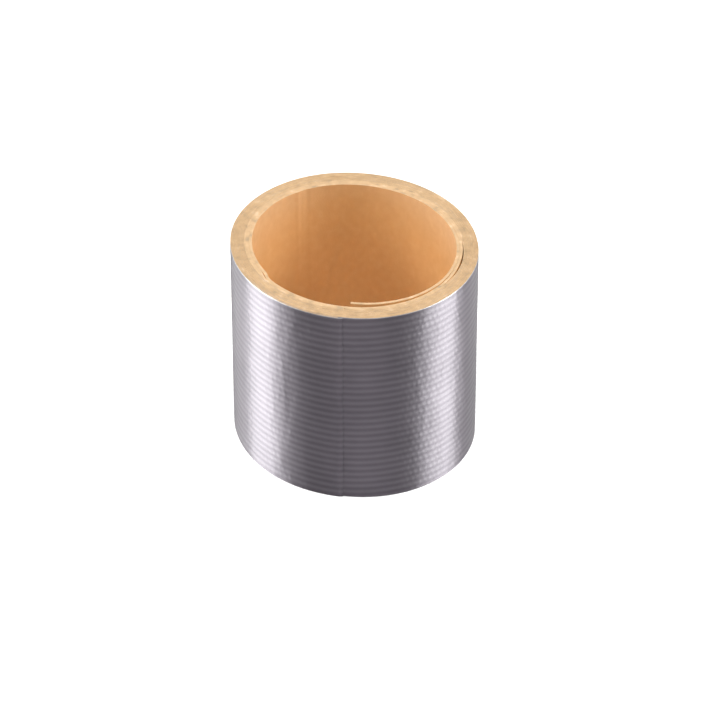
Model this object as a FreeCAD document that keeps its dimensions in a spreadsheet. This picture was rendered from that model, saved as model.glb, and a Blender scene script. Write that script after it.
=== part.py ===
import FreeCAD, Part
import Sketcher
import os
from math import acos, cos, degrees, radians, sin

# Small roll of cloth duct tape on a coiled paperboard core, standing on one end face.
#
# Units are millimetres and degrees. +Z runs up the roll's axis, the origin is on the surface that the roll
# stands on, under the middle of the roll, and -Y is the side that the two free ends face.
#
# The roll is slightly oval, as a hand-pressed roll is. Every wound strip is a chain of tangent arcs, most of
# them quarters that change at the four axis directions, so a strip has one thickness all along. Angles are
# those of the surface normal, counted from +X towards +Y. A strip that winds outwards has a growing angle.

# Driving dimensions: name, value, meaning. The first column of the sheet holds the meaning.
DIMENSIONS = [
    ("tape_width", 50.0, "width of the tape and the core, the roll's height"),
    ("roll_across", 55.0, "outside size of the roll along X"),
    ("oval_shift", 2.0, "distance of the quarter arcs' centres from the X and Y axes"),
    ("film_thickness", 0.08, "silver polyethylene film"),
    ("scrim_thickness", 0.07, "woven cloth"),
    ("adhesive_thickness", 0.11, "rubber adhesive coat"),
    ("layer_gap", 0.01, "clearance between the layers of one turn"),
    ("tape_pitch", 0.3, "radial growth of the tape in one turn"),
    ("tape_turns", 11.0, "turns of tape on the core"),
    ("tape_end_angle", 261.0, "where the outer end of the tape is cut"),
    ("peel_angle", 212.0, "where the tape's free end leaves the roll"),
    ("end_lift", 0.05, "how proud the free end of the tape lies"),
    ("board_thickness", 0.65, "kraft board strip that is coiled into the core"),
    ("turn_gap", 0.03, "clearance between the board's two turns"),
    ("core_gap", 0.03, "clearance between the core and the innermost tape"),
    ("board_end_angle", 569.0, "where the board's outer end is cut, counted on from its inner turn"),
    ("skive_angle", 5.5, "how much further the outer end runs on its outer face, skived to an edge"),
    ("step_angle", 210.0, "where the board starts to step out over its own outer end"),
    ("step_radius", 4.0, "inward bend of the board where the step starts"),
    ("landing_radius", 5.0, "outward bend of the board where it meets the outer turn's curve"),
    ("flex_angle", 360.0, "where the core's free end starts"),
    ("free_end_angle", 259.4, "where the core's free end is cut"),
    ("free_end_lift", 0.95, "how far the free end's tip stands inwards of the coil"),
    ("root_slit", 0.2, "angle left open at the root of each free end"),
]
SHEET_NAME = "dims"
QUARTER = 90.0
HALF_TURN = 180.0
FULL_TURN = 360.0
OUT_OF_ORDER = ("Invalid", "Error")


class Size:
    """A length, ratio or angle kept as a number and as the spreadsheet expression that gives it."""

    def __init__(self, value, text):
        self.value = value
        self.text = text

    @staticmethod
    def of(other):
        return other if isinstance(other, Size) else Size(float(other), repr(float(other)))

    def __add__(self, other):
        other = Size.of(other)
        return Size(self.value + other.value, f"({self.text} + {other.text})")

    def __sub__(self, other):
        other = Size.of(other)
        return Size(self.value - other.value, f"({self.text} - {other.text})")

    def __mul__(self, other):
        other = Size.of(other)
        return Size(self.value * other.value, f"({self.text} * {other.text})")

    def __truediv__(self, other):
        other = Size.of(other)
        return Size(self.value / other.value, f"({self.text} / {other.text})")


def cosine(angle):
    return Size(cos(radians(angle.value)), f"cos({angle.text} * 1 deg)")


def sine(angle):
    return Size(sin(radians(angle.value)), f"sin({angle.text} * 1 deg)")


def corner_angle(beside, other, opposite):
    """Angle of a triangle between its sides beside and other, by the law of cosines."""
    ratio = (beside * beside + other * other - opposite * opposite) / (beside * other * 2)
    return Size(degrees(acos(ratio.value)), f"(acos({ratio.text}) / 1 deg)")


def bearing(angle):
    """An angle as a slope between -180 and 180 degrees, in radians, and the expression that gives it."""
    turns = (angle.value + HALF_TURN) // FULL_TURN
    return radians(angle.value - FULL_TURN * turns), f"({angle.text} - {FULL_TURN * turns!r}) * 1 deg"


def make_sheet(doc):
    """Writes the driving dimensions into a spreadsheet and returns them as Size objects by name."""
    sheet = doc.addObject("Spreadsheet::Sheet", SHEET_NAME)
    sizes = {}
    for row, (name, value, meaning) in enumerate(DIMENSIONS, start=1):
        sheet.set(f"A{row}", meaning)
        sheet.set(f"B{row}", str(value))
        sheet.setAlias(f"B{row}", name)
        sizes[name] = Size(value, f"{SHEET_NAME}.{name}")
    doc.recompute()
    return sizes


class Arc:
    """One arc of a strip's inner face: its centre and radius, and the normal angles it runs between.

    A hollow arc bends the other way: its centre is outside the strip and its angle falls along the strip.
    """

    def __init__(self, centre, radius, start, end, hollow=False):
        self.centre = centre
        self.radius = radius
        self.start = Size.of(start)
        self.end = Size.of(end)
        self.hollow = hollow

    def radius_at(self, grow):
        return self.radius - grow if self.hollow else self.radius + grow

    def drawn_angles(self):
        """The arc's two angles about its own centre, counter-clockwise."""
        if self.hollow:
            return radians(self.end.value - HALF_TURN), radians(self.start.value - HALF_TURN)
        return radians(self.start.value), radians(self.end.value)

    def first_vertex(self):
        return 2 if self.hollow else 1

    def last_vertex(self):
        return 1 if self.hollow else 2


def quarter_spans(start, end):
    """Cuts the angles from start to end at every axis direction."""
    cuts = [start]
    turn = QUARTER * (start // QUARTER + 1)
    while turn < end:
        cuts.append(turn)
        turn += QUARTER
    cuts.append(end)
    return list(zip(cuts[:-1], cuts[1:]))


def tape_arcs(d, depth, start, end):
    """Arcs of the spiral that lies depth inside the tape's outermost face, whose last turn ends below 270."""
    quarter_growth = d["tape_pitch"] * 0.25
    front_across = (d["roll_across"] - d["tape_pitch"]) * 0.5
    shift_x = d["oval_shift"] + quarter_growth * 0.5
    shift_y = d["oval_shift"] - quarter_growth * 0.5
    arcs = []
    for low, high in quarter_spans(start.value, end.value):
        quarter = int(low // QUARTER)
        side_x = 1 if quarter % 4 in (2, 3) else -1
        side_y = 1 if quarter % 4 in (1, 2) else -1
        centre = (shift_x * side_x + quarter_growth, shift_y * side_y - quarter_growth)
        radius = front_across - shift_y + quarter_growth * (quarter + 1) - depth
        if quarter % 2 == 0:
            radius = radius + d["oval_shift"] * 2
        arcs.append(Arc(centre, radius, low, high))
    arcs[0].start = start
    arcs[-1].end = end
    return arcs


def outer_turn_across(d):
    """Inner face of the board's outer turn from the axis: inside all the tape, by the board and the gap."""
    tape_band = d["tape_pitch"] * (d["tape_turns"] + 0.5)
    return d["roll_across"] * 0.5 - tape_band - d["core_gap"] - d["board_thickness"]


def coil_quarters(d, inwards):
    """Centre and radius of the coil's four quarters, lying inwards of the outer turn's inner face."""
    shift = d["oval_shift"]
    minus = shift * -1
    across = outer_turn_across(d) - inwards
    return [
        ((minus, minus), across + shift),
        ((minus, shift), across - shift),
        ((shift, shift), across + shift),
        ((shift, minus), across - shift),
    ]


def quarter_arcs(quarters, start, end):
    """The coil's arcs between two angles, cut at every axis direction."""
    low_end = Size.of(start)
    high_end = Size.of(end)
    arcs = [
        Arc(*quarters[int(low // QUARTER) % 4], low, high)
        for low, high in quarter_spans(low_end.value, high_end.value)
    ]
    arcs[0].start = low_end
    arcs[-1].end = high_end
    return arcs


def coil_arcs(d):
    """Arcs of the board from its flex line, round its inner turn, over the step and round its outer turn.

    The two bends of the step and the turn's centre form a triangle, which gives where the bends meet each
    other and where the second one lands on the outer turn.
    """
    inner = coil_quarters(d, d["board_thickness"] + d["turn_gap"])
    outer = coil_quarters(d, Size.of(0.0))
    step = d["step_angle"]
    bend = d["step_radius"]
    landing = d["landing_radius"]
    (centre_x, centre_y), inner_radius = inner[2]
    outer_radius = outer[2][1]
    to_bend = inner_radius + bend
    to_landing = outer_radius - landing
    apart = bend + landing
    landed = step + corner_angle(to_bend, to_landing, apart)
    turned = step - corner_angle(to_bend, apart, to_landing)
    bend_centre = (centre_x + to_bend * cosine(step), centre_y + to_bend * sine(step))
    landing_centre = (centre_x + to_landing * cosine(landed), centre_y + to_landing * sine(landed))
    arcs = quarter_arcs(inner, 0, step)
    arcs.append(Arc(bend_centre, bend, step, turned, hollow=True))
    arcs.append(Arc(landing_centre, landing, turned, landed))
    return arcs + quarter_arcs(outer, landed, d["board_end_angle"])


def free_end_arcs(d):
    """The single arc of the core's free end, which leaves the coil's curve at the flex line."""
    (centre_x, centre_y), radius = coil_quarters(d, d["board_thickness"] + d["turn_gap"])[3]
    lift = d["free_end_lift"]
    root = d["flex_angle"] - d["root_slit"]
    return [Arc((centre_x + lift, centre_y), radius - lift, d["free_end_angle"], root)]


class StripSketch:
    """A sketch of one strip's end face, every part of it fixed by the spreadsheet."""

    def __init__(self, body, name):
        self.sketch = body.newObject("Sketcher::SketchObject", name)
        plane = [f for f in body.Origin.OriginFeatures if f.Role == "XY_Plane"][0]
        self.sketch.AttachmentSupport = (plane, "")
        self.sketch.MapMode = "FlatFace"
        self.centres = {}
        self.constraints = []
        self.expressions = []

    def bind(self, constraint, text):
        """Adds a constraint whose value follows an expression."""
        self.expressions.append((len(self.constraints), text))
        self.constraints.append(constraint)

    def centre(self, centre):
        """The construction point at an arc centre, made once for each place."""
        x, y = centre
        key = (x.text, y.text)
        if key not in self.centres:
            spot = self.sketch.addGeometry(Part.Point(FreeCAD.Vector(x.value, y.value, 0)), True)
            self.bind(Sketcher.Constraint("DistanceX", -1, 1, spot, 1, x.value), x.text)
            self.bind(Sketcher.Constraint("DistanceY", -1, 1, spot, 1, y.value), y.text)
            self.centres[key] = spot
        return self.centres[key]

    def arc(self, arc, radius):
        """Draws one arc at that radius about the arc's centre."""
        spot = self.centre(arc.centre)
        middle = FreeCAD.Vector(arc.centre[0].value, arc.centre[1].value, 0)
        circle = Part.Circle(middle, FreeCAD.Vector(0, 0, 1), radius.value)
        drawn = self.sketch.addGeometry(Part.ArcOfCircle(circle, *arc.drawn_angles()), False)
        self.constraints.append(Sketcher.Constraint("Coincident", drawn, 3, spot, 1))
        self.bind(Sketcher.Constraint("Radius", drawn, radius.value), radius.text)
        return drawn

    def level(self, drawn, vertex, angle):
        """Holds an arc's end straight across from its centre, at an axis direction."""
        kind = "Horizontal" if angle % HALF_TURN == 0 else "Vertical"
        self.constraints.append(Sketcher.Constraint(kind, drawn, 3, drawn, vertex))

    def cut(self, inner, outer, vertex, arc, angle, construction):
        """Draws the line across the strip, square to it, on which both faces' arcs end at that angle."""
        slope, text = bearing(angle)
        along = FreeCAD.Vector(cos(slope), sin(slope), 0)
        middle = FreeCAD.Vector(arc.centre[0].value, arc.centre[1].value, 0)
        side = -1 if arc.hollow else 1
        near = self.sketch.Geometry[inner].Radius * side
        far = self.sketch.Geometry[outer].Radius * side
        segment = Part.LineSegment(middle + along * near, middle + along * far)
        line = self.sketch.addGeometry(segment, construction)
        self.constraints.append(Sketcher.Constraint("Coincident", line, 1, inner, vertex))
        self.constraints.append(Sketcher.Constraint("Coincident", line, 2, outer, vertex))
        self.constraints.append(Sketcher.Constraint("PointOnObject", self.centre(arc.centre), 1, line))
        self.bind(Sketcher.Constraint("Angle", line, slope), text)
        return line

    def spoke(self, drawn, arc):
        """Holds the last end of a drawn arc at its angle with a construction line from the arc's centre."""
        slope, text = bearing(arc.end)
        middle = FreeCAD.Vector(arc.centre[0].value, arc.centre[1].value, 0)
        tip = middle + FreeCAD.Vector(cos(slope), sin(slope), 0) * self.sketch.Geometry[drawn].Radius
        line = self.sketch.addGeometry(Part.LineSegment(middle, tip), True)
        self.constraints.append(Sketcher.Constraint("Coincident", line, 1, self.centre(arc.centre), 1))
        self.constraints.append(Sketcher.Constraint("Coincident", line, 2, drawn, arc.last_vertex()))
        self.bind(Sketcher.Constraint("Angle", line, slope), text)
        return tip

    def slant(self, inner, outer, inner_arc, outer_arc):
        """Draws the slanted cut of a skived end, from the inner face's end to the outer face's."""
        ends = (self.spoke(inner, inner_arc), self.spoke(outer, outer_arc))
        line = self.sketch.addGeometry(Part.LineSegment(*ends), False)
        self.constraints.append(Sketcher.Constraint("Coincident", line, 1, inner, inner_arc.last_vertex()))
        self.constraints.append(Sketcher.Constraint("Coincident", line, 2, outer, outer_arc.last_vertex()))

    def draw(self, arcs, thickness, skive):
        """Draws both faces of a strip and its two ends. The arcs meet because their centres make them.

        The outer face runs on past the inner one by the skive angle. Without one the last end is cut square.
        """
        last = arcs[-1]
        outer_last = Arc(last.centre, last.radius, last.start, last.end + skive) if skive else last
        inner = [self.arc(arc, arc.radius) for arc in arcs]
        outer = [self.arc(arc, arc.radius_at(thickness)) for arc in arcs[:-1] + [outer_last]]
        self.cut(inner[0], outer[0], arcs[0].first_vertex(), arcs[0], arcs[0].start, False)
        for index, arc in enumerate(arcs[:-1]):
            following = arcs[index + 1]
            if arc.end.value % QUARTER == 0:
                for face in (inner, outer):
                    self.level(face[index], arc.last_vertex(), arc.end.value)
                    self.level(face[index + 1], following.first_vertex(), arc.end.value)
            else:
                line = self.cut(inner[index], outer[index], arc.last_vertex(), arc, arc.end, True)
                for face in (inner, outer):
                    meet = Sketcher.Constraint(
                        "PointOnObject", face[index + 1], following.first_vertex(), line)
                    self.constraints.append(meet)
        if skive:
            self.slant(inner[-1], outer[-1], last, outer_last)
        else:
            self.cut(inner[-1], outer[-1], last.last_vertex(), last, last.end, False)

    def finish(self):
        """Applies the constraints and their expressions, and checks that nothing is left free."""
        self.sketch.addConstraint(self.constraints)
        for index, text in self.expressions:
            self.sketch.setExpression(f"Constraints[{index}]", text)
        if self.sketch.solve() != 0 or not self.sketch.FullyConstrained:
            raise RuntimeError(f"sketch {self.sketch.Name} isn't fully fixed")
        return self.sketch


def strip(doc, label, d, arcs, thickness, skive=None):
    """A body: one strip standing on edge."""
    body = doc.addObject("PartDesign::Body", label)
    body.Label = label
    drawing = StripSketch(body, label + "_profile")
    drawing.draw(arcs, thickness, skive)
    pad = body.newObject("PartDesign::Pad", label + "_pad")
    pad.Profile = drawing.finish()
    pad.setExpression("Length", d["tape_width"].text)
    drawing.sketch.Visibility = False


def core(doc, d):
    """The core: one kraft board strip coiled nearly twice round, and the free inner end of the same strip.

    The strip's outer end is skived, so that it fills the wedge under the step.
    """
    strip(doc, "core_board", d, coil_arcs(d), d["board_thickness"], d["skive_angle"])
    strip(doc, "core_free_end", d, free_end_arcs(d), d["board_thickness"])


def tape(doc, d):
    """The three bonded layers of the tape, wound up, and the same layers in its free outer end."""
    film, scrim, adhesive = (d[n] for n in ("film_thickness", "scrim_thickness", "adhesive_thickness"))
    gap = d["layer_gap"]
    scrim_depth = film + gap + scrim
    layers = [
        ("film", film, film),
        ("scrim", scrim, scrim_depth),
        ("adhesive", adhesive, scrim_depth + gap + adhesive),
    ]
    cut = d["tape_end_angle"]
    start = cut - d["tape_turns"] * FULL_TURN
    free_start = d["peel_angle"] + d["root_slit"]
    for name, thickness, depth in layers:
        wound = tape_arcs(d, depth, start, d["peel_angle"])
        strip(doc, "tape_" + name, d, wound, thickness)
        lifted = tape_arcs(d, depth - d["end_lift"], free_start, cut)
        strip(doc, "tape_end_" + name, d, lifted, thickness)


def check(doc):
    """Stops the build if any object failed or any body's shape isn't one sound solid.

    A strip whose profile crosses itself still pads into a valid solid, but its end faces then have more than
    one outline.
    """
    for item in doc.Objects:
        if any(word in item.State for word in OUT_OF_ORDER):
            raise RuntimeError(f"{item.Label} failed: {item.State}")
    bodies = [item for item in doc.Objects if item.TypeId == "PartDesign::Body"]
    for body in bodies:
        shape = body.Shape
        if shape.isNull() or not shape.isValid() or len(shape.Solids) != 1:
            raise RuntimeError(f"{body.Label} has no sound solid")
        if any(len(face.Wires) != 1 for face in shape.Faces):
            raise RuntimeError(f"{body.Label} crosses itself")
    return bodies


def main():
    doc = FreeCAD.newDocument("duct_tape_roll")
    sizes = make_sheet(doc)
    core(doc, sizes)
    tape(doc, sizes)
    doc.recompute()
    os.makedirs("parts", exist_ok=True)
    for body in check(doc):
        body.Shape.exportStep(f"parts/{body.Label}.step")
        box = body.Shape.BoundBox
        print(f"{body.Label:18s} {body.Shape.Volume:9.1f} mm3  x {box.XMin:7.2f} {box.XMax:6.2f}  "
              f"y {box.YMin:7.2f} {box.YMax:6.2f}  z {box.ZMin:.2f} {box.ZMax:.2f}")


main()
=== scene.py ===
from math import acos, cos, pi, radians, sin, tau

import bpy
import numpy as np
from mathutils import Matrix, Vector


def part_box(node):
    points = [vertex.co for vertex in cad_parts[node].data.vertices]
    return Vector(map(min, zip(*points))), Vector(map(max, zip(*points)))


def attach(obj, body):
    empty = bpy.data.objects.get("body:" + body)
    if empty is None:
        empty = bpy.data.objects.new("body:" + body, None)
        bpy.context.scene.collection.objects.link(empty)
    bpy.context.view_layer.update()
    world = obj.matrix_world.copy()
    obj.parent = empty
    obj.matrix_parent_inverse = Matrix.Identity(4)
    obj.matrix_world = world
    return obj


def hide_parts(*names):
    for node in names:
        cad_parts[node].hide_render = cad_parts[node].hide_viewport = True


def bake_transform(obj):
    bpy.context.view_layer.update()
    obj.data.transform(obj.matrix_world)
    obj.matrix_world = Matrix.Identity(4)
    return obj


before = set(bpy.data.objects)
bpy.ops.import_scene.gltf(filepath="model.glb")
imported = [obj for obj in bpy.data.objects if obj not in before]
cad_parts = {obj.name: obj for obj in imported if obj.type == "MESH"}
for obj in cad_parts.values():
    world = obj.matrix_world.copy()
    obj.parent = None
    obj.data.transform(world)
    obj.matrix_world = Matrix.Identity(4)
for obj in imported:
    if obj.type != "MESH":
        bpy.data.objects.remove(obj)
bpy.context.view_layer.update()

MM = 0.001

# The roll's driving dimensions, in millimetres and degrees. The places come from the frame; these are the
# thicknesses and angles that a box can't give.
HEIGHT = (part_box("tape_film")[1].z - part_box("tape_film")[0].z) / MM
ROLL_ACROSS = (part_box("tape_film")[1].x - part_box("tape_film")[0].x) / MM
OVAL_SHIFT = 2.0
TAPE_PITCH = 0.3
TAPE_TURNS = 11
FILM = 0.08
SCRIM = 0.07
ADHESIVE = 0.11
LAYER_GAP = 0.01
TAPE_END = 261.0
PEEL = 212.0
END_LIFT = 0.05
BOARD = 0.65
TURN_GAP = 0.03
CORE_ACROSS = (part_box("core_board")[1].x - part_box("core_board")[0].x) / MM / 2 - BOARD
STEP = 210.0
STEP_BEND = 4.0
LANDING_BEND = 5.0
BOARD_END = 569.0
SKIVE = 5.5
SKIVED_EDGE = 0.02
FREE_END = 259.4
FREE_LIFT = 0.95

# The slit at the root of each free end, and the hairline left where two drawn pieces meet, in degrees.
ROOT_SLIT = 0.2
SEAM = 0.05

# How far apart the points of a path are, in degrees.
WOUND_STEP = 1.5
BOARD_STEP = 1.0
FACE_STEP = 0.75
FILL_STEP = 0.5

# The film's ribs: how many, how deep, the power that shapes each ridge, the share of it that is twisted like
# rope, and the length of one twist.
RIBS = 30
RIB_DEPTH = 0.06
RIB_SHARPNESS = 0.7
RIB_TWIST = 0.2
TWIST_LENGTH = 1.3
# The ribs wander up and down by these waves: size in ribs, millimetres of tape per radian, start in radians.
RIB_SWAY = [(0.10, 9.0, 0.0), (0.06, 3.7, 1.0)]

# The film's upper and lower edges are rounded off over SHOULDER, and the upper one is painted pale over a
# thin band below it: a painted highlight where that edge catches the light.
SHOULDER = 0.2
SHOULDER_DROP = 0.065
RIM_HIGHLIGHT_WIDTH = 0.2

# How far the edges of the other strips sink at most, and how many points apart their ups and downs are.
FILM_WANDER = 0.06
CLOTH_WANDER = 0.04
ADHESIVE_WANDER = 0.03
BOARD_WANDER = 0.05
WANDER_PERIOD = 9
SEED = 7

# The first turn's adhesive is squeezed in to this close to the core, over nearly one full turn.
FILL_GAP = 0.01
FILLED_TURN = 359.7

# The film's last PRESSED degrees are bent down by up to PRESS_DEPTH. The cloth stops where they start, and
# the adhesive STAGGER degrees before that.
PRESSED = 2.0
PRESS_DEPTH = 0.22
STAGGER = 0.1


def smooth_noise(count, period, seed):
    """Smooth repeatable noise from -1 to 1 at count places, with a bend about every period places."""
    random = np.random.default_rng(seed)
    knots = max(4, int(count / period) + 3)
    values = random.uniform(-1, 1, knots)
    at = np.linspace(0, knots - 1, count)
    low = np.floor(at).astype(int)
    high = np.minimum(low + 1, knots - 1)
    part = at - low
    part = part * part * (3 - 2 * part)
    return values[low] * (1 - part) + values[high] * part


# ---------------------------------------------------------------- strip paths

def arc_points(centre, radius, start, end, step):
    """Points and outward normals along one arc. The angles are those of the normal, in degrees."""
    count = max(2, int(abs(end - start) / step) + 1)
    angles = np.radians(np.linspace(start, end, count))
    normals = np.stack([np.cos(angles), np.sin(angles)], 1)
    return np.array(centre) + normals * radius, normals


def join_arcs(arcs, step):
    """One run of points and normals through a chain of tangent arcs."""
    points = []
    normals = []
    for index, arc in enumerate(arcs):
        p, n = arc_points(*arc, step)
        keep = slice(1 if index else 0, None)
        points.append(p[keep])
        normals.append(n[keep])
    return np.concatenate(points), np.concatenate(normals)


def spans(start, end):
    """Cuts a run of angles at every quarter turn."""
    cuts = [start]
    turn = 90.0 * (start // 90 + 1)
    while turn < end:
        cuts.append(turn)
        turn += 90.0
    return list(zip(cuts, cuts[1:] + [end]))


def tape_path(depth, start, end, step=WOUND_STEP):
    """The tape's spiral, depth millimetres inside its outermost face."""
    growth = TAPE_PITCH / 4
    across = (ROLL_ACROSS - TAPE_PITCH) / 2
    shift_x = OVAL_SHIFT + growth / 2
    shift_y = OVAL_SHIFT - growth / 2
    arcs = []
    for low, high in spans(start, end):
        quarter = int(low // 90)
        side_x = 1 if quarter % 4 in (2, 3) else -1
        side_y = 1 if quarter % 4 in (1, 2) else -1
        flatter = 0 if quarter % 2 else 2 * OVAL_SHIFT
        radius = across - shift_y + growth * (quarter + 1) - depth + flatter
        centre = (shift_x * side_x + growth, shift_y * side_y - growth)
        arcs.append((centre, radius, low, high))
    return join_arcs(arcs, step)


def coil_quarters(inwards):
    """Centre and radius of the coil's four quarters, lying inwards of the outer turn's inner face."""
    across = CORE_ACROSS - inwards
    s = OVAL_SHIFT
    return [
        ((-s, -s), across + s),
        ((-s, s), across - s),
        ((s, s), across + s),
        ((s, -s), across - s),
    ]


def triangle_angle(beside, other, opposite):
    """The angle between two sides of a triangle, in degrees, from its three sides."""
    return acos((beside**2 + other**2 - opposite**2) / (2 * beside * other)) * 180 / pi


def board_path():
    """The board strip's inner face from its flex line to its outer end."""
    inner = coil_quarters(BOARD + TURN_GAP)
    outer = coil_quarters(0)
    centre, radius = inner[2]
    to_bend = radius + STEP_BEND
    to_landing = outer[2][1] - LANDING_BEND
    apart = STEP_BEND + LANDING_BEND
    landed = STEP + triangle_angle(to_bend, to_landing, apart)
    turned = STEP - triangle_angle(to_bend, apart, to_landing)

    def out(distance, angle):
        turn = radians(angle)
        return (centre[0] + distance * cos(turn), centre[1] + distance * sin(turn))

    arcs = [(*inner[int(a // 90) % 4], a, b) for a, b in spans(0, STEP)]
    arcs.append((out(to_bend, STEP), -STEP_BEND, STEP, turned))
    arcs.append((out(to_landing, landed), LANDING_BEND, turned, landed))
    arcs += [(*outer[int(a // 90) % 4], a, b) for a, b in spans(landed, BOARD_END + SKIVE)]
    return join_arcs(arcs, BOARD_STEP)


def free_end_path():
    """The free end's inner face, carried on to the flex line, with a hairline seam before the coil."""
    (x, y), radius = coil_quarters(BOARD + TURN_GAP)[3]
    arc = ((x + FREE_LIFT, y), radius - FREE_LIFT, FREE_END, 360.0 - SEAM)
    return join_arcs([arc], BOARD_STEP)


def bell(turn, middle, width):
    """A smooth bump of height 1 about an angle, nothing beyond width degrees from it."""
    off = (turn - middle + 180.0) % 360.0 - 180.0
    inside = np.clip(1 - (off / width) ** 2, 0, 1)
    return inside * inside


# Where the core is bunched inwards: angle, half width, and how far, in degrees and millimetres. It stands
# further off the tape there. The first of these is the dark crescent on the right.
CREASES = [(-15.0, 24.0, 0.17), (172.0, 16.0, 0.10), (-38.0, 14.0, 0.05)]


def core_shift(turn):
    """How far the core lies inwards of its round at each angle, in millimetres."""
    return sum(depth * bell(turn, middle, width) for middle, width, depth in CREASES)


def settle(path, amount):
    """Moves a path inwards by amount(turn in degrees)."""
    points, normals = path
    turn = np.degrees(np.arctan2(normals[:, 1], normals[:, 0]))
    return points - normals * np.asarray(amount(turn))[:, None], normals


# ---------------------------------------------------------------- meshes

# Faces that meet at more than this many degrees show a sharp edge.
SHARP_ANGLE = 35.0


def strip_faces(count, rows):
    """The faces of a closed strip whose inner and outer face are each a grid of count by rows points."""
    base = count * rows
    faces = []
    for i in range(count - 1):
        for j in range(rows - 1):
            a = i * rows + j
            b = a + rows
            faces.append((a, a + 1, b + 1, b))
            faces.append((base + a, base + b, base + b + 1, base + a + 1))
        low = i * rows
        high = low + rows - 1
        faces.append((low, low + rows, base + low + rows, base + low))
        faces.append((high, base + high, base + high + rows, high + rows))
    for j in range(rows - 1):
        a = j
        b = (count - 1) * rows + j
        faces.append((a, base + a, base + a + 1, a + 1))
        faces.append((b, b + 1, base + b + 1, base + b))
    return faces


def add_strip_map(mesh, run, heights):
    """The strip's map, in metres. Its first coordinate runs up the strip, so that a highlight stretched along
    it follows the roll's axis. The second runs along the strip."""
    uv = mesh.uv_layers.new(name="strip")
    along = np.tile(np.repeat(run, heights.shape[1]), 2) * MM
    up = np.tile(heights.reshape(-1), 2) * MM
    index = np.zeros(len(mesh.loops), np.int32)
    mesh.loops.foreach_get("vertex_index", index)
    uv.data.foreach_set("uv", np.stack([up[index], along[index]], 1).reshape(-1).astype(np.float32))


def strip_mesh(name, path, thickness, levels, outer_relief=None, inner_relief=None, edge=None):
    """A closed strip on edge: inner face, outer face, two rims and two cut ends.

    path is (points, normals) of the inner face, in millimetres. levels are heights. A relief(run, z, turn) is
    added to its face along the normal, where run is the length along the strip and turn the normal's angle in
    degrees. edge(run) is how far the upper and lower rims sink, so that they aren't ruled straight.
    """
    points, normals = path
    count = len(points)
    rows = len(levels)
    run = np.concatenate([[0], np.cumsum(np.linalg.norm(np.diff(points, axis=0), axis=1))])
    turn = np.degrees(np.arctan2(normals[:, 1], normals[:, 0]))[:, None]
    sink = edge(run) if edge else np.zeros(count)
    half = HEIGHT / 2
    squeeze = 1 - sink[:, None] / half
    heights = half + (np.array(levels)[None, :] - half) * squeeze
    flat = np.zeros((count, rows))
    raised = outer_relief(run[:, None], heights, turn) if outer_relief else flat
    dented = inner_relief(run[:, None], heights, turn) if inner_relief else flat
    near = points[:, None, :] + normals[:, None, :] * dented[..., None]
    far = points[:, None, :] + normals[:, None, :] * (thickness + raised)[..., None]
    inner = np.concatenate([near, heights[..., None]], 2)
    outer = np.concatenate([far, heights[..., None]], 2)
    vertices = np.concatenate([inner.reshape(-1, 3), outer.reshape(-1, 3)]) * MM
    mesh = bpy.data.meshes.new(name)
    mesh.from_pydata(vertices.tolist(), [], strip_faces(count, rows))
    mesh.validate()
    add_strip_map(mesh, run, heights)
    mesh.update()
    mesh.shade_smooth()
    mesh.set_sharp_from_angle(angle=radians(SHARP_ANGLE))
    return mesh


def add_piece(name, mesh, material, body, nodes=()):
    piece = bpy.data.objects.new(name, mesh)
    bpy.context.scene.collection.objects.link(piece)
    mesh.materials.append(material)
    if body:
        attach(piece, body)
    if nodes:
        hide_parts(*nodes)
    return piece


# ---------------------------------------------------------------- materials

def new_material(name):
    material = bpy.data.materials.new(name)
    material.use_nodes = True
    nodes = material.node_tree.nodes
    return material, nodes, material.node_tree.links, nodes["Principled BSDF"]


def object_noise(nodes, links, scale, detail=3.0, stretch=(1, 1, 1)):
    """Noise in the piece's own metres, stretched along the axes."""
    where = nodes.new("ShaderNodeTexCoord")
    mapping = nodes.new("ShaderNodeMapping")
    mapping.inputs["Scale"].default_value = stretch
    noise = nodes.new("ShaderNodeTexNoise")
    noise.inputs["Scale"].default_value = scale
    noise.inputs["Detail"].default_value = detail
    links.new(where.outputs["Object"], mapping.inputs["Vector"])
    links.new(mapping.outputs["Vector"], noise.inputs["Vector"])
    return noise.outputs["Fac"]


def ramp(nodes, links, source, stops):
    """Turns a value into a colour by stops of (value, colour)."""
    blend = nodes.new("ShaderNodeValToRGB")
    elements = blend.color_ramp.elements
    for element, (place, colour) in zip(elements, stops[:2]):
        element.position = place
        element.color = (*colour, 1)
    for place, colour in stops[2:]:
        elements.new(place).color = (*colour, 1)
    links.new(source, blend.inputs["Fac"])
    return blend.outputs["Color"]


def bump(nodes, links, source, strength, distance, under=None):
    """A bump of this many metres, over the one under it if there is one."""
    node = nodes.new("ShaderNodeBump")
    node.inputs["Strength"].default_value = strength
    node.inputs["Distance"].default_value = distance
    links.new(source, node.inputs["Height"])
    if under:
        links.new(under, node.inputs["Normal"])
    return node.outputs["Normal"]


def calculate(nodes, links, operation, first, second=None):
    """One step of arithmetic in the material. Its operands are numbers or outputs."""
    node = nodes.new("ShaderNodeMath")
    node.operation = operation
    for socket, value in zip(node.inputs, (first, second)):
        if value is None:
            continue
        if isinstance(value, (int, float)):
            socket.default_value = value
        else:
            links.new(value, socket)
    return node.outputs["Value"]


def blend_colours(nodes, links, share, first, second):
    """Mixes two colour outputs, share being how much of the second shows."""
    node = nodes.new("ShaderNodeMix")
    node.data_type = "RGBA"
    colours = [socket for socket in node.inputs if socket.type == "RGBA"]
    links.new(share, node.inputs[0])
    links.new(first, colours[0])
    links.new(second, colours[1])
    return [socket for socket in node.outputs if socket.type == "RGBA"][0]


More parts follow.
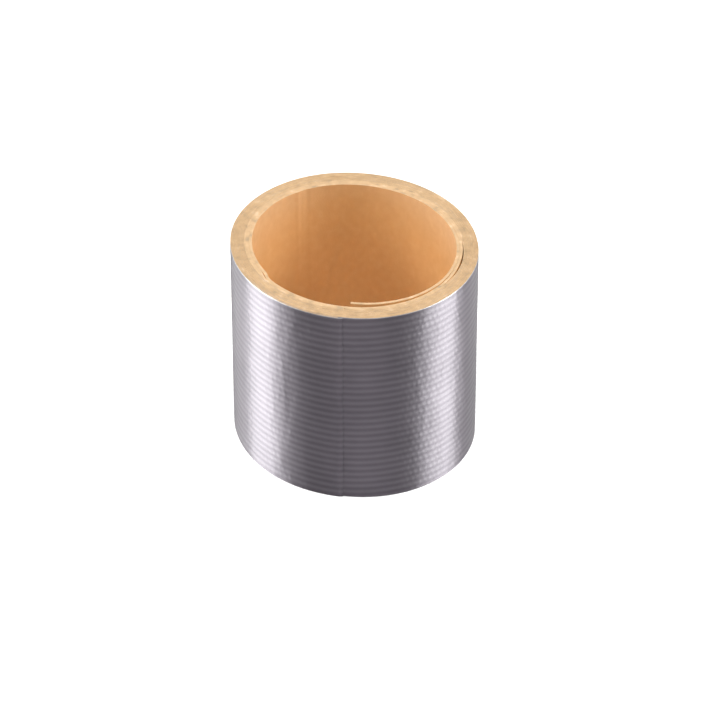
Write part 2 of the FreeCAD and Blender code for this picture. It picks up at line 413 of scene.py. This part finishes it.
def strip_place(nodes, links):
    """Height and length along the strip, in metres, from its map."""
    where = nodes.new("ShaderNodeUVMap")
    where.uv_map = "strip"
    split = nodes.new("ShaderNodeSeparateXYZ")
    links.new(where.outputs["UV"], split.inputs["Vector"])
    return split.outputs["X"], split.outputs["Y"]


def on_cut_edge(nodes, links):
    """1 on the strip's upper and lower edges, where it was slit, and 0 on its faces."""
    where = nodes.new("ShaderNodeTexCoord")
    split = nodes.new("ShaderNodeSeparateXYZ")
    links.new(where.outputs["Normal"], split.inputs["Vector"])
    steep = calculate(nodes, links, "ABSOLUTE", split.outputs["Z"])
    return calculate(nodes, links, "GREATER_THAN", steep, 0.7)


def rib_height(nodes, links):
    """0 in the furrows between the ribs and 1 on the ridges, by the same formula as rib_relief. The film uses
    it to mix painted shade into the furrows and painted light onto the ridges.
    """
    height, along = strip_place(nodes, links)
    phase = calculate(nodes, links, "MULTIPLY", height, RIBS / (HEIGHT * MM))
    for size, length, start in RIB_SWAY:
        turns = calculate(nodes, links, "MULTIPLY", along, 1 / (length * MM))
        wave = calculate(nodes, links, "SINE", calculate(nodes, links, "ADD", turns, start))
        phase = calculate(nodes, links, "ADD", phase, calculate(nodes, links, "MULTIPLY", wave, size))
    ridge = calculate(nodes, links, "COSINE", calculate(nodes, links, "MULTIPLY", phase, tau))
    return calculate(nodes, links, "MULTIPLY", calculate(nodes, links, "ADD", ridge, 1), 0.5)


def edge_colour(nodes, links, shade=1.0):
    """Slit edges smeared with adhesive and paper dust: mottled, with short streaks along the winding."""
    mottle = object_noise(nodes, links, 480, 7)
    along = strip_place(nodes, links)[1]
    combine = nodes.new("ShaderNodeCombineXYZ")
    links.new(along, combine.inputs["X"])
    streak = nodes.new("ShaderNodeTexNoise")
    streak.inputs["Scale"].default_value = 420
    streak.inputs["Detail"].default_value = 3
    links.new(combine.outputs["Vector"], streak.inputs["Vector"])
    both = calculate(nodes, links, "ADD", mottle, streak.outputs["Fac"])
    mean = calculate(nodes, links, "MULTIPLY", both, 0.5)
    stops = [
        (0.36, (0.29, 0.205, 0.118)),
        (0.45, (0.40, 0.262, 0.138)),
        (0.56, (0.465, 0.305, 0.163)),
        (0.67, (0.56, 0.41, 0.275)),
    ]
    shaded = [(place, tuple(value * shade for value in colour)) for place, colour in stops]
    return ramp(nodes, links, mean, shaded)


def silver_film():
    """Coated film: a violet-grey metal look with highlights stretched along the roll's axis."""
    material, nodes, links, shader = new_material("silver_film")
    tint = object_noise(nodes, links, 90, 4)
    # The ribs' furrows are painted darker and their ridges lighter: painted shade and painted highlight that
    # follow the ribs' relief.
    furrow_painted_shade = ramp(nodes, links, tint, [(0.3, (0.073, 0.064, 0.076)), (0.7, (0.083, 0.0725, 0.086))])
    ridge = ramp(nodes, links, tint, [(0.3, (0.098, 0.087, 0.101)), (0.7, (0.109, 0.097, 0.112))])
    face = blend_colours(nodes, links, rib_height(nodes, links), furrow_painted_shade, ridge)
    # Below the upper slit edge the film is painted pale: a painted highlight where the rim catches the light,
    # stronger in some places than in others.
    height = strip_place(nodes, links)[0]
    under_rim = calculate(nodes, links, "GREATER_THAN", height, (HEIGHT - RIM_HIGHLIGHT_WIDTH) * MM)
    painted_rim_highlight = calculate(nodes, links, "MULTIPLY", under_rim, object_noise(nodes, links, 300, 4))
    rim_highlight_colour = ramp(nodes, links, tint, [(0, (0.34, 0.33, 0.34)), (1, (0.46, 0.45, 0.46))])
    face = blend_colours(nodes, links, painted_rim_highlight, face, rim_highlight_colour)
    slit = on_cut_edge(nodes, links)
    colour = blend_colours(nodes, links, slit, face, edge_colour(nodes, links, 0.8))
    links.new(colour, shader.inputs["Base Color"])
    # The film is not metallic on its slit edges and under the painted rim highlight.
    matt_slit_and_rim_highlight = calculate(nodes, links, "MAXIMUM", slit, painted_rim_highlight)
    metal = calculate(nodes, links, "MULTIPLY", calculate(nodes, links, "SUBTRACT", 1, matt_slit_and_rim_highlight), 0.9)
    links.new(metal, shader.inputs["Metallic"])
    shader.inputs["Anisotropic"].default_value = 0.93
    tangent = nodes.new("ShaderNodeTangent")
    tangent.direction_type = "UV_MAP"
    tangent.uv_map = "strip"
    links.new(tangent.outputs["Tangent"], shader.inputs["Tangent"])
    rough = nodes.new("ShaderNodeMapRange")
    rough.inputs["To Min"].default_value = 0.47
    rough.inputs["To Max"].default_value = 0.57
    links.new(object_noise(nodes, links, 260, 3), rough.inputs["Value"])
    links.new(rough.outputs["Result"], shader.inputs["Roughness"])
    fine = bump(nodes, links, object_noise(nodes, links, 1500, 2, (1, 1, 2.5)), 0.2, 0.00005)
    broad = bump(nodes, links, object_noise(nodes, links, 170, 3, (1, 1, 0.3)), 0.45, 0.0005, fine)
    links.new(broad, shader.inputs["Normal"])
    return material


def scrim_cloth():
    """The woven cloth, matt. Only its edges show."""
    material, nodes, links, shader = new_material("cloth")
    tint = object_noise(nodes, links, 700, 3)
    face = ramp(nodes, links, tint, [(0.35, (0.52, 0.36, 0.2)), (0.65, (0.7, 0.5, 0.3))])
    slit = on_cut_edge(nodes, links)
    links.new(blend_colours(nodes, links, slit, face, edge_colour(nodes, links)), shader.inputs["Base Color"])
    shader.inputs["Roughness"].default_value = 0.85
    links.new(bump(nodes, links, object_noise(nodes, links, 2600, 2), 0.6, 0.0001), shader.inputs["Normal"])
    return material


def adhesive_rubber():
    """Kraft-brown rubber, with lighter and darker patches."""
    material, nodes, links, shader = new_material("adhesive")
    tint = object_noise(nodes, links, 420, 5)
    stops = [(0.3, (0.5, 0.31, 0.14)), (0.52, (0.63, 0.41, 0.2)), (0.75, (0.76, 0.54, 0.31))]
    slit = on_cut_edge(nodes, links)
    colour = blend_colours(nodes, links, slit, ramp(nodes, links, tint, stops), edge_colour(nodes, links))
    links.new(colour, shader.inputs["Base Color"])
    shader.inputs["Roughness"].default_value = 0.7
    links.new(bump(nodes, links, object_noise(nodes, links, 1800, 3), 0.5, 0.00012), shader.inputs["Normal"])
    return material


def kraft_board():
    """Kraft board with fine fibre."""
    material, nodes, links, shader = new_material("kraft_board")
    fibre = object_noise(nodes, links, 620, 8, (1, 1, 0.8))
    stops = [(0.25, (0.60, 0.322, 0.116)), (0.5, (0.62, 0.338, 0.126)), (0.76, (0.645, 0.362, 0.142))]
    slit = on_cut_edge(nodes, links)
    colour = blend_colours(nodes, links, slit, ramp(nodes, links, fibre, stops), edge_colour(nodes, links))
    links.new(colour, shader.inputs["Base Color"])
    shader.inputs["Roughness"].default_value = 0.75
    fine = bump(nodes, links, object_noise(nodes, links, 2400, 3), 0.35, 0.00008)
    broad = bump(nodes, links, object_noise(nodes, links, 160, 2, (1, 1, 0.5)), 0.12, 0.0002, fine)
    links.new(broad, shader.inputs["Normal"])
    return material


# ---------------------------------------------------------------- the tape

# Pinches in the film: normal's angle and height, half sizes along and up, and how far they stand out, in
# degrees and millimetres.
PINCHES = [
    (239.0, 45.0, 2.2, 1.0, 0.05),
    (241.5, 43.2, 1.6, 1.4, -0.02),
    (253.7, 42.4, 1.2, 0.8, 0.04),
    (267.0, 15.6, 1.4, 0.7, 0.045),
    (260.0, 9.0, 1.6, 0.8, 0.04),
]


def rib_relief(run, z, turn):
    """The cloth's ribs as they push the film out: rope-like ridges that wander a little along the tape."""
    sway = sum(size * np.sin(run / length + start) for size, length, start in RIB_SWAY)
    phase = tau * (z / HEIGHT * RIBS + sway)
    ridge = (0.5 + 0.5 * np.cos(phase)) ** RIB_SHARPNESS
    twist = 1 - RIB_TWIST + RIB_TWIST * np.sin(tau * run / TWIST_LENGTH + phase * 0.5)
    relief = -RIB_DEPTH * (1 - ridge * twist)
    from_edge = np.minimum(z, HEIGHT - z)
    shoulder = np.clip(1 - from_edge / SHOULDER, 0, 1) ** 2
    relief = relief * (1 - shoulder) - SHOULDER_DROP * shoulder
    for angle, height, along, up, proud in PINCHES:
        upright = np.clip(1 - ((z - height) / up) ** 2, 0, 1) ** 2
        relief = relief + proud * bell(turn, angle, along) * upright
    return relief


def film_levels():
    """The heights of the film's points: even ones for the ribs, and closer ones at its rounded edges."""
    per_rib = 7
    per_shoulder = 3
    even = np.linspace(0, HEIGHT, RIBS * per_rib + 1)
    near_edge = np.linspace(0, SHOULDER, per_shoulder + 1)[1:]
    return sorted(set(np.round(np.concatenate([even, near_edge, HEIGHT - near_edge]), 4)))


def rim_wander(seed, depth):
    """Makes an edge function: how far a strip's rims sink, a little different all along it."""

    def sink(run):
        return depth * (0.5 + 0.5 * smooth_noise(len(run), WANDER_PERIOD, seed))

    return sink


def core_reach(turn):
    """How far the core's outer face reaches from the axis along each normal. The angles are in degrees."""
    reach = np.zeros(len(turn))
    for quarter, ((x, y), radius) in enumerate(coil_quarters(0)):
        inside = (turn // 90.0) % 4 == quarter
        here = x * np.cos(np.radians(turn)) + y * np.sin(np.radians(turn)) + radius + BOARD
        reach = np.where(inside, here, reach)
    return reach


def squeezed_on_core(path):
    """Makes the relief of the first turn's adhesive, squeezed in on to the core all but at the crescent."""
    points, normals = path
    turn = np.degrees(np.arctan2(normals[:, 1], normals[:, 0])) % 360.0
    wound = np.degrees(np.unwrap(np.radians(turn)))
    first_turn = wound - wound[0] < FILLED_TURN
    gap = (points * normals).sum(1) - core_reach(turn) + core_shift(turn)
    middle, width, _ = CREASES[0]
    share = 1 - np.sqrt(bell(turn, middle, width))
    fill = np.where(first_turn, (gap - FILL_GAP) * share, 0)

    def relief(run, z, turn):
        return -fill[:, None] + 0 * z

    return relief


def build_tape(materials):
    """The wound tape. Each layer is one strip, but the film's outer turn is a piece of its own."""
    film, cloth, rubber = materials
    start = TAPE_END - 360.0 * TAPE_TURNS
    last_turn = PEEL - 360.0
    flat = [0.0, HEIGHT]
    # The film's outer turn carries the ribs; the turns under it only show at the end faces.
    path = tape_path(FILM, last_turn, PEEL, FACE_STEP)
    mesh = strip_mesh("film_outer_turn", path, FILM, film_levels(), rib_relief)
    add_piece("film_outer_turn", mesh, film, "roll", ["tape_film"])
    path = tape_path(FILM, start, last_turn - SEAM)
    mesh = strip_mesh("film_wound", path, FILM, flat, edge=rim_wander(SEED, FILM_WANDER))
    add_piece("film_wound", mesh, film, "roll")
    depth = FILM + LAYER_GAP + SCRIM
    path = tape_path(depth, start, PEEL)
    mesh = strip_mesh("cloth_wound", path, SCRIM, flat, edge=rim_wander(SEED + 1, CLOTH_WANDER))
    add_piece("cloth_wound", mesh, cloth, "roll", ["tape_scrim"])
    depth += LAYER_GAP + ADHESIVE
    path = tape_path(depth, start, PEEL, FILL_STEP)
    squeezed = squeezed_on_core(path)
    wander = rim_wander(SEED + 2, ADHESIVE_WANDER)
    mesh = strip_mesh("adhesive_wound", path, ADHESIVE, flat, inner_relief=squeezed, edge=wander)
    add_piece("adhesive_wound", mesh, rubber, "roll", ["tape_adhesive"])


def build_tape_end(materials):
    """The free end of the tape: it starts at the peel line."""
    film, cloth, rubber = materials
    flat = [0.0, HEIGHT]
    depth = FILM
    rows = [
        ("film", FILM, film, "silver_film", film_levels(), rib_relief, "tape_end_film", 0.0),
        ("cloth", SCRIM, cloth, "cloth", flat, None, "tape_end_scrim", PRESSED),
        ("adhesive", ADHESIVE, rubber, "adhesive", flat, None, "tape_end_adhesive", PRESSED + STAGGER),
    ]
    for index, (layer, thick, material, slot, levels, relief, node, short) in enumerate(rows):
        if index:
            depth += LAYER_GAP + thick
        path = tape_path(depth - END_LIFT, PEEL + ROOT_SLIT, TAPE_END - short, FACE_STEP)
        if not index:
            path = settle(path, pressed_edge)
        mesh = strip_mesh("free_" + layer, path, thick, levels, relief)
        piece = add_piece("free_" + layer, mesh, material, None, [node])
        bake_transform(piece)


def pressed_edge(turn):
    """The film bends down over its last stretch, past the end of the cloth and adhesive."""
    left = (TAPE_END - (turn % 360.0)) / PRESSED
    return PRESS_DEPTH * np.clip(1 - left, 0, 1) ** 2


# ---------------------------------------------------------------- the core

# Upright creases on the bore's wall: angle, half width and height, in degrees and millimetres. At the wall's
# foot they have only a share of that height.
BORE_CREASES = [
    (121.0, 2.2, 0.10),
    (115.0, 2.6, -0.10),
    (70.0, 6.0, 0.07),
    (99.0, 7.0, 0.04),
    (150.0, 9.0, 0.05),
]
CREASE_FOOT = 0.25
CREASE_FADE = 1.5
# The wall is also uneven by this much, in waves of so many millimetres per radian: along, up and slanting.
UNEVEN = 0.012
UNEVEN_WAVES = (2.3, 6.1, 9.0)
BOARD_ROWS = 26


def bore_relief(run, z, turn):
    """The creases of the board, strongest at the top and fading downwards, and its slightly uneven face."""
    fade = CREASE_FOOT + (1 - CREASE_FOOT) * np.clip(z / HEIGHT, 0, 1) ** CREASE_FADE
    crease = sum(height * bell(turn, middle, width) for middle, width, height in BORE_CREASES)
    along, up, slanting = UNEVEN_WAVES
    uneven = UNEVEN * np.sin(run / along) * np.sin(z / up + run / slanting)
    # The strip's outer end is skived from its inner face, under the step.
    length = run.max()
    skive_length = radians(SKIVE) * (CORE_ACROSS + OVAL_SHIFT)
    skived = np.clip((run - (length - skive_length)) / skive_length, 0, 1)
    on_inner_turn = run < length / 2
    return np.where(on_inner_turn, -(crease * fade + uneven), (BOARD - SKIVED_EDGE) * skived)


def build_core(board):
    """The board strip: its coil, and the loose inner end, which reaches to the flex line."""
    levels = list(np.linspace(0, HEIGHT, BOARD_ROWS))
    path = settle(board_path(), core_shift)
    wander = rim_wander(SEED + 3, BOARD_WANDER)
    mesh = strip_mesh("core_coil", path, BOARD, levels, inner_relief=bore_relief, edge=wander)
    add_piece("core_coil", mesh, board, "roll", ["core_board"])
    path = settle(free_end_path(), core_shift)
    wander = rim_wander(SEED + 4, BOARD_WANDER)
    mesh = strip_mesh("core_loose_end", path, BOARD, levels, edge=wander)
    piece = add_piece("core_loose_end", mesh, board, None, ["core_free_end"])
    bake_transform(piece)


# ---------------------------------------------------------------- camera and light

# The camera that fits the photo's outline: degrees above the level, then millimetres.
CAMERA_RISE = 37.68
CAMERA_DISTANCE = 905.0
LENS = 201.4
ASIDE = 1.28
BELOW = 5.93
SENSOR = 36.0
# How far the floor reaches on each side, in metres.
FLOOR_HALF = 3.0

# The low boxes give the film its bright upright bands: name, azimuth and width in degrees, and watts.
LOW_BOXES = [
    ("left_band", -87, 28, 9.0),
    ("left_line", -67, 5, 0.9),
    ("left_edge", -118, 24, 1.9),
    ("right_band", 80, 24, 6.6),
    ("right_inner", 61, 15, 2.4),
    ("right_edge", 120, 24, 0.9),
]
# The high boxes light the bore and the end face.
HIGH_BOXES = [("left_high", -95, 40, 3.4), ("right_high", 95, 40, 3.4)]
# How high each row of boxes stands, how tall its boxes are and how far off, in metres.
LOW_ROW = (0.1, 0.18, 0.5)
HIGH_ROW = (0.42, 0.25, 0.45)
# All the boxes point at this place on the roll's axis.
AIM = (0, 0, 0.03)
WORLD_LIGHT = 0.38
# The bands are a little green, which takes the film's violet cast out of its highlights.
BAND_TINT = (0.93, 1.0, 0.92)


def add_camera():
    rise = radians(CAMERA_RISE)
    back = Vector((0, -cos(rise), sin(rise)))
    up = Vector((0, sin(rise), cos(rise)))
    middle = Vector((0, 0, HEIGHT / 2))
    place = (middle + back * CAMERA_DISTANCE + Vector((1, 0, 0)) * ASIDE - up * BELOW) * MM
    data = bpy.data.cameras.new("camera")
    data.sensor_width = SENSOR
    data.lens = LENS
    data.clip_start = 0.01
    camera = bpy.data.objects.new("camera", data)
    camera.location = place
    camera.rotation_euler = back.to_track_quat("Z", "Y").to_euler()
    bpy.context.scene.collection.objects.link(camera)
    bpy.context.scene.camera = camera


def add_softbox(name, place, size, power, gloss_only=False):
    """A rectangle of light, size metres across and tall, pointing at the roll."""
    data = bpy.data.lights.new(name, "AREA")
    data.shape = "RECTANGLE"
    data.size, data.size_y = size
    data.energy = power
    data.color = BAND_TINT if gloss_only else (1, 1, 1)
    light = bpy.data.objects.new(name, data)
    light.location = place
    light.rotation_euler = (Vector(place) - Vector(AIM)).to_track_quat("Z", "Y").to_euler()
    light.visible_diffuse = not gloss_only
    bpy.context.scene.collection.objects.link(light)


def add_floor():
    mesh = bpy.data.meshes.new("floor")
    half = FLOOR_HALF
    corners = [(-half, -half, 0), (half, -half, 0), (half, half, 0), (-half, half, 0)]
    mesh.from_pydata(corners, [], [(0, 1, 2, 3)])
    floor = bpy.data.objects.new("floor", mesh)
    material, _, _, shader = new_material("floor")
    shader.inputs["Base Color"].default_value = (0.93, 0.93, 0.93, 1)
    shader.inputs["Roughness"].default_value = 0.9
    mesh.materials.append(material)
    bpy.context.scene.collection.objects.link(floor)


def side_box(name, azimuth, wide, power, row, gloss_only=False):
    """A softbox azimuth degrees round from the camera's side and wide degrees across. Left is negative."""
    height, tall, distance = row
    turn = radians(azimuth)
    place = (distance * sin(turn), -distance * cos(turn), height)
    across = 2 * distance * sin(radians(wide / 2))
    add_softbox(name, place, (across, tall), power, gloss_only)


def add_lights():
    for box in LOW_BOXES:
        side_box(*box, LOW_ROW, gloss_only=True)
    for box in HIGH_BOXES:
        side_box(*box, HIGH_ROW)
    add_softbox("front_top", place=(0.0, -0.45, 0.75), size=(0.5, 0.4), power=3.9)
    world = bpy.data.worlds.new("studio")
    world.use_nodes = True
    sky = world.node_tree.nodes["Background"]
    sky.inputs["Color"].default_value = (1, 1, 1, 1)
    sky.inputs["Strength"].default_value = WORLD_LIGHT
    bpy.context.scene.world = world
    bpy.context.scene.view_settings.view_transform = "Standard"


add_camera()
add_floor()
add_lights()
tape_materials = (silver_film(), scrim_cloth(), adhesive_rubber())
build_tape(tape_materials)
build_tape_end(tape_materials)
build_core(kraft_board())
